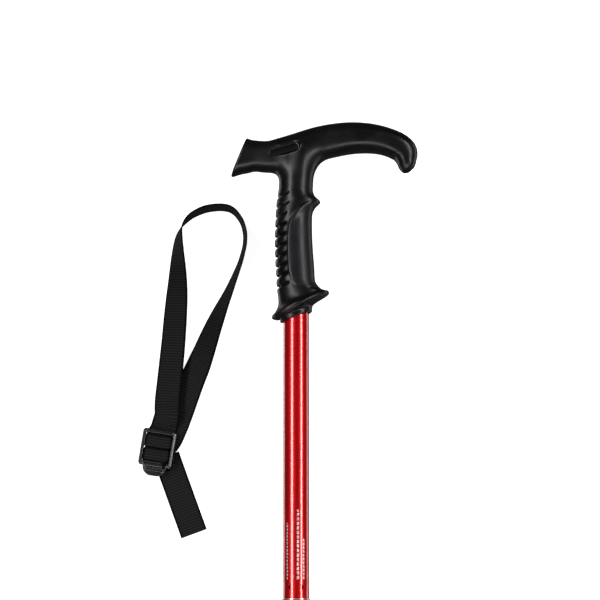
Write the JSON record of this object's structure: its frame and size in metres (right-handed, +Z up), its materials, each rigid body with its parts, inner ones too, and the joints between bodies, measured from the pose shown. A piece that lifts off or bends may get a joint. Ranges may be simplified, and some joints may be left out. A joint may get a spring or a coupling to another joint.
{
  "type": "telescoping walking stick with a T-handle and wrist strap",
  "caption": "Twist-lock telescoping walking stick with a ribbed T-handle, sprung shaft, mud basket and rubber foot, lying beside its loose webbing wrist strap and buckle.",
  "frame": {"origin": "centre of the rubber foot's face, on the shaft's axis", "axes": "+Y along the shaft from the foot to the handle, +X towards the side the handle's hook points to, +Z up from the surface that the stick lies on, which is 18 mm below the shaft's axis"},
  "size_m": [0.1975, 0.7667, 0.036],
  "materials": {
    "grip_plastic": "fine grained black",
    "red_anodised": "red anodised, glossy",
    "bare_aluminium": "satin",
    "black_plastic": "moulded black",
    "pale_plastic": "moulded natural nylon",
    "steel": "bright",
    "carbide": "ground",
    "black_rubber": "matt moulded",
    "webbing": "woven black"
  },
  "bodies": {
    "handle": {"handle_grip": "grip_plastic", "upper_tube": "red_anodised", "shock_plug": "black_plastic", "shock_spring": "steel"},
    "main_section": {"main_tube": "red_anodised", "main_collar": "black_plastic", "spring_seat": "black_plastic", "shock_rod": "steel", "shock_washer": "steel", "shock_nut": "steel"},
    "upper_lock_sleeve": {"upper_expander": "pale_plastic"},
    "upper_lock_cone": {"upper_cone_nut": "black_plastic"},
    "middle_section": {"middle_tube": "bare_aluminium", "middle_collar": "black_plastic", "upper_lock_screw": "steel"},
    "lower_lock_sleeve": {"lower_expander": "pale_plastic"},
    "lower_lock_cone": {"lower_cone_nut": "black_plastic"},
    "lower_section": {"lower_tube": "bare_aluminium", "lower_lock_screw": "steel", "tip_ferrule": "black_plastic", "carbide_tip": "carbide", "mud_basket": "black_plastic"},
    "foot": {"rubber_foot": "black_rubber"},
    "strap": {"wrist_strap": "webbing", "strap_buckle": "black_plastic"}
  },
  "joints": [
    {"name": "shock_slide", "type": "slide", "parent": "handle", "child": "main_section", "axis": [0, 1, 0], "range_m": [0, 0.01], "stiffness_N_per_m": 12000, "deforming": ["shock_spring"]},
    {"name": "upper_extend", "type": "slide", "parent": "main_section", "child": "upper_lock_sleeve", "axis": [0, -1, 0], "range_m": [0, 0.12]},
    {"name": "middle_twist", "type": "hinge", "parent": "upper_lock_sleeve", "child": "middle_section", "pos_m": [0, 0.322, 0], "axis": [0, 1, 0], "range_deg": [0, 360]},
    {"name": "upper_cone_slide", "type": "slide", "parent": "upper_lock_sleeve", "child": "upper_lock_cone", "axis": [0, -1, 0], "range_m": [0, 0.0013]},
    {"name": "lower_extend", "type": "slide", "parent": "middle_section", "child": "lower_lock_sleeve", "axis": [0, -1, 0], "range_m": [0, 0.105]},
    {"name": "lower_twist", "type": "hinge", "parent": "lower_lock_sleeve", "child": "lower_section", "pos_m": [0, 0.272, 0], "axis": [0, 1, 0], "range_deg": [0, 360]},
    {"name": "lower_cone_slide", "type": "slide", "parent": "lower_lock_sleeve", "child": "lower_lock_cone", "axis": [0, -1, 0], "range_m": [0, 0.0013]},
    {"name": "foot_pull", "type": "slide", "parent": "lower_section", "child": "foot", "axis": [0, -1, 0], "range_m": [0, 0.032]},
    {"name": "strap_lift", "type": "slide", "parent": "handle", "child": "strap", "axis": [0, 0, 1], "range_m": [0, 0.1]}
  ],
  "couplings": [
    {"joint": "upper_cone_slide", "follows": "middle_twist", "m_per_rad": 0.000199},
    {"joint": "lower_cone_slide", "follows": "lower_twist", "m_per_rad": 0.000199}
  ]
}
